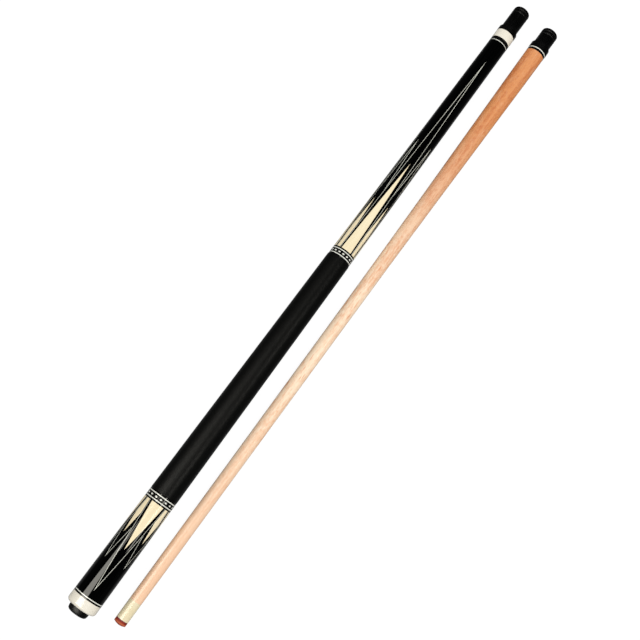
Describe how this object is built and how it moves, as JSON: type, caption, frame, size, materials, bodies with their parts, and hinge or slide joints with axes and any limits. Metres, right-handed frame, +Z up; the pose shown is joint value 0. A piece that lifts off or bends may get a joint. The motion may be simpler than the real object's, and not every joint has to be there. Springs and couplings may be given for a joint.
{
  "type": "pool cue",
  "caption": "Two-piece pool cue taken apart, butt and shaft lying side by side, inlaid points, ring stacks, plain wrap and screw-on joint protectors.",
  "frame": {"origin": "centre of the bounding box on the table surface, between the two halves", "axes": "+X along the halves towards their joint ends, +Z up from the table, butt on the +Y side, shaft on the -Y side"},
  "size_m": [0.7774, 0.0648, 0.0314],
  "materials": {
    "black_lacquer": "black stained hardwood under clear gloss lacquer",
    "ivory_inlay": "ivory-coloured cast resin under gloss lacquer",
    "silver_veneer": "thin silver-grey veneer under gloss lacquer",
    "black_veneer": "black dyed veneer under gloss lacquer",
    "core_wood": "bare maple core",
    "wrap_leather": "matt black stacked leather",
    "steel": "zinc-plated steel",
    "pin_steel": "bright stainless steel thread",
    "black_ring": "polished black phenolic",
    "silver_ring": "polished silver-coloured metal",
    "white_collar": "polished off-white phenolic",
    "bumper_rubber": "matt black moulded rubber",
    "maple": "lacquered hard maple with fine straight grain",
    "tip_leather": "pressed layered leather",
    "fibre_pad": "dark red vulcanised fibre",
    "ferrule_plastic": "polished cream resin",
    "brass": "machined brass",
    "protector_plastic": "turned black phenolic with a satin polish",
    "grip_rubber": "smooth black rubber"
  },
  "bodies": {
    "butt": {"forearm_long_points": "ivory_inlay", "forearm_short_points": "ivory_inlay", "forearm_long_silver_veneers": "silver_veneer", "forearm_short_silver_veneers": "silver_veneer", "forearm_long_black_veneers": "black_veneer", "forearm_short_black_veneers": "black_veneer", "sleeve_long_points": "ivory_inlay", "sleeve_short_points": "ivory_inlay", "sleeve_long_silver_veneers": "silver_veneer", "sleeve_short_silver_veneers": "silver_veneer", "sleeve_long_black_veneers": "black_veneer", "sleeve_short_black_veneers": "black_veneer", "forearm": "black_lacquer", "butt_sleeve": "black_lacquer", "handle_core": "core_wood", "handle_wrap": "wrap_leather", "a_joint_stud": "steel", "weight_bolt": "steel", "joint_pin": "pin_steel", "lower_black_rings": "black_ring", "lower_silver_rings": "silver_ring", "lower_dot_band": "black_ring", "lower_silver_dots": "silver_ring", "upper_black_rings": "black_ring", "upper_silver_rings": "silver_ring", "upper_dot_band": "black_ring", "upper_silver_dots": "silver_ring", "cap_silver_ring": "silver_ring", "cap_black_ring": "black_ring", "butt_cap": "white_collar", "joint_silver_ring": "silver_ring", "joint_black_ring": "black_ring", "joint_collar": "white_collar"},
    "bumper": {"bumper": "bumper_rubber"},
    "butt_protector_carrier": {"butt_grip_rings": "grip_rubber"},
    "butt_protector": {"butt_protector": "protector_plastic", "butt_protector_insert": "brass"},
    "shaft": {"shaft_wood": "maple", "tip": "tip_leather", "tip_pad": "fibre_pad", "ferrule": "ferrule_plastic", "shaft_black_collar": "black_ring", "shaft_silver_ring": "silver_ring", "shaft_insert": "brass"},
    "shaft_protector_carrier": {"shaft_grip_rings": "grip_rubber"},
    "shaft_protector": {"shaft_protector": "protector_plastic", "shaft_protector_stud": "brass"}
  },
  "joints": [
    {"name": "shaft_apart", "type": "slide", "parent": "butt", "child": "shaft", "axis": [0, -1, 0], "range_m": [0, 0.1]},
    {"name": "bumper_pull", "type": "slide", "parent": "butt", "child": "bumper", "axis": [-1, 0, 0.0066], "range_m": [0, 0.016]},
    {"name": "butt_protector_travel", "type": "slide", "parent": "butt", "child": "butt_protector_carrier", "axis": [1, 0, -0.0066], "range_m": [0, 0.0315]},
    {"name": "butt_protector_turn", "type": "hinge", "parent": "butt_protector_carrier", "child": "butt_protector", "pos_m": [0.35268, 0.01678, 0.01089], "axis": [1, 0, -0.0066], "range_deg": [0, 3240]},
    {"name": "shaft_protector_travel", "type": "slide", "parent": "shaft", "child": "shaft_protector_carrier", "axis": [1, 0, 0.006], "range_m": [0, 0.0245]},
    {"name": "shaft_protector_turn", "type": "hinge", "parent": "shaft_protector_carrier", "child": "shaft_protector", "pos_m": [0.35869, -0.02162, 0.01085], "axis": [1, 0, 0.006], "range_deg": [0, 2520]}
  ],
  "couplings": [
    {"joint": "butt_protector_travel", "follows": "butt_protector_turn", "m_per_rad": 0.00050532},
    {"joint": "shaft_protector_travel", "follows": "shaft_protector_turn", "m_per_rad": 0.00050532}
  ]
}
